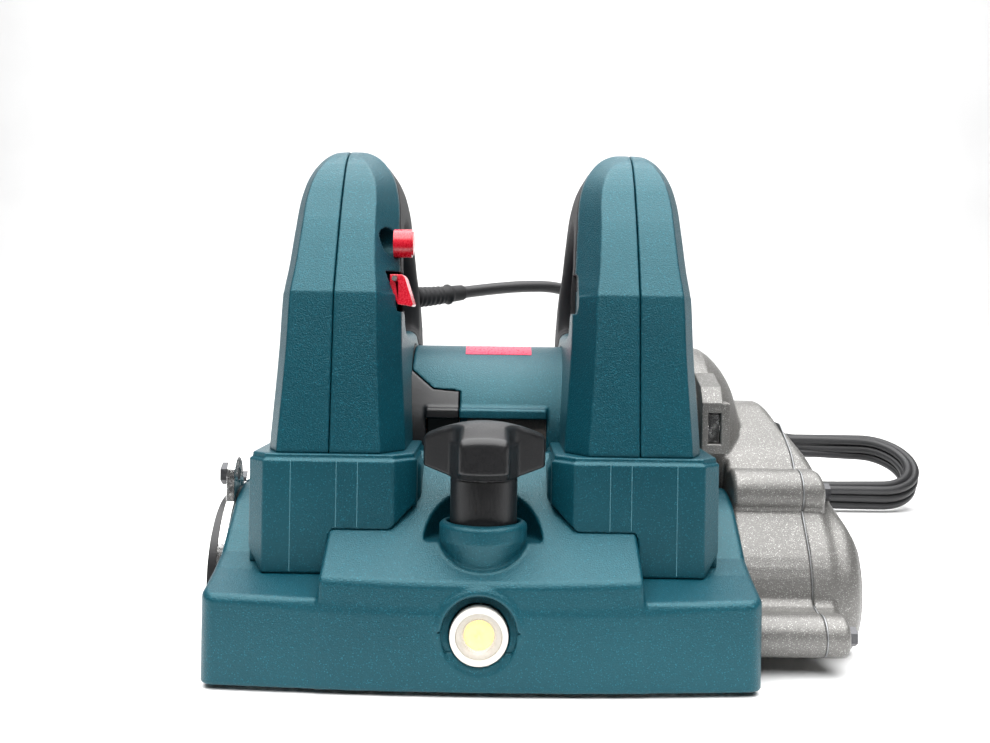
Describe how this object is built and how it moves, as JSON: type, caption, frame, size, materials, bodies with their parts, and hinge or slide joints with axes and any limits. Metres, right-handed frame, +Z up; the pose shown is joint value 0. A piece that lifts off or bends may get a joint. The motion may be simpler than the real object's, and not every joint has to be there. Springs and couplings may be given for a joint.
{
  "type": "handheld surface planer",
  "caption": "Handheld twin-handle surface planer with a transverse cutter drum, depth knob, work lamp, side gear case and mains cord.",
  "frame": {"origin": "middle of the rear sole plate, on its underside", "axes": "+X to the machine's right seen from the front, where the gear case is; +Y to the back; +Z up. The front with the lamp faces -Y."},
  "size_m": [0.5262, 0.5655, 0.2533],
  "materials": {
    "teal_plastic": "moulded teal plastic with a fine spark-eroded grain",
    "cast_aluminium": "silver-painted die-cast aluminium, fine sparkle",
    "base_casting": "bare die-cast aluminium",
    "sole_plate": "machined aluminium sole",
    "black_rubber": "soft black overmoulded rubber",
    "black_plastic": "black glass-filled plastic",
    "red_plastic": "red plastic",
    "steel": "ground steel",
    "dark_steel": "blackened steel",
    "blade_steel": "ground blade steel",
    "copper": "copper segments and windings",
    "lamination": "laminated iron with windings",
    "carbon": "carbon",
    "bezel_white": "white lamp bezel",
    "lens_clear": "clear lens",
    "led_yellow": "yellow phosphor",
    "red_label": "plain red stripe",
    "cord_rubber": "black rubber cord sheath",
    "galvanised": "bright plated steel"
  },
  "bodies": {
    "planer": {"chassis": "base_casting", "front_cover": "teal_plastic", "rear_cover": "teal_plastic", "left_pedestal": "teal_plastic", "right_pedestal": "teal_plastic", "left_handle_outer_shell": "teal_plastic", "left_handle_inner_shell": "teal_plastic", "right_handle_inner_shell": "teal_plastic", "right_handle_outer_shell": "teal_plastic", "left_grip": "black_rubber", "right_grip": "black_rubber", "handle_screws": "dark_steel", "trigger_pin": "steel", "switch_body": "black_plastic", "motor_housing": "teal_plastic", "motor_end_cover": "black_plastic", "motor_stripe": "red_label", "stator": "lamination", "carbon_brushes": "carbon", "motor_bearings": "steel", "gear_case_inner": "cast_aluminium", "gear_case_cover": "cast_aluminium", "gear_case_gasket": "base_casting", "gear_case_bolts": "dark_steel", "neck_bracket": "cast_aluminium", "bracket_bolt": "galvanised", "idler_bearings": "steel", "drum_bearings": "steel", "left_side_plate": "galvanised", "side_guard": "black_plastic", "guard_bolts": "dark_steel", "rear_shoe": "sole_plate", "depth_spring": "steel", "led_bezel": "bezel_white", "led_lens": "lens_clear", "led_chip": "led_yellow", "dust_outlet": "black_plastic", "strain_relief": "black_rubber", "power_cord": "cord_rubber", "cord_hank": "cord_rubber", "cord_tie": "black_plastic", "plug": "black_plastic"},
    "drum": {"drum_body": "dark_steel", "blades": "blade_steel", "blade_clamps": "dark_steel", "blade_screws": "dark_steel", "drum_gear": "steel"},
    "armature": {"armature_shaft": "steel", "armature_core": "lamination", "commutator": "copper", "cooling_fan": "black_plastic"},
    "idler": {"idler_gear": "steel", "idler_shaft": "steel"},
    "shoe": {"front_shoe": "sole_plate"},
    "knob": {"depth_knob": "black_plastic", "depth_spindle": "steel"},
    "trigger": {"trigger": "red_plastic"},
    "lock": {"lock_button": "red_plastic"}
  },
  "joints": [
    {"name": "drum_spin", "type": "hinge", "parent": "planer", "child": "drum", "pos_m": [0, -0.078, 0.03], "axis": [1, 0, 0], "continuous": true},
    {"name": "armature_spin", "type": "hinge", "parent": "planer", "child": "armature", "pos_m": [0, -0.033, 0.1], "axis": [1, 0, 0], "continuous": true},
    {"name": "idler_spin", "type": "hinge", "parent": "planer", "child": "idler", "pos_m": [0, -0.05699, 0.07316], "axis": [1, 0, 0], "continuous": true},
    {"name": "front_shoe_lift", "type": "slide", "parent": "planer", "child": "shoe", "axis": [0, 0, 1], "range_m": [0, 0.003], "deforming": ["depth_spring"]},
    {"name": "depth_knob_turn", "type": "hinge", "parent": "planer", "child": "knob", "pos_m": [0, -0.15, 0.09], "axis": [0, 0, 1], "range_deg": [0, 720]},
    {"name": "trigger_press", "type": "hinge", "parent": "planer", "child": "trigger", "pos_m": [-0.0445, -0.114, 0.184], "axis": [0, 1, 0], "range_deg": [0, 11], "stiffness_Nm_per_rad": 0.6},
    {"name": "lock_button_press", "type": "slide", "parent": "planer", "child": "lock", "axis": [-1, 0, 0], "range_m": [0, 0.0025], "stiffness_N_per_m": 500}
  ],
  "couplings": [
    {"joint": "idler_spin", "follows": "drum_spin", "ratio": -1},
    {"joint": "armature_spin", "follows": "drum_spin", "ratio": 2},
    {"joint": "depth_knob_turn", "follows": "front_shoe_lift", "rad_per_m": 4188.8}
  ]
}
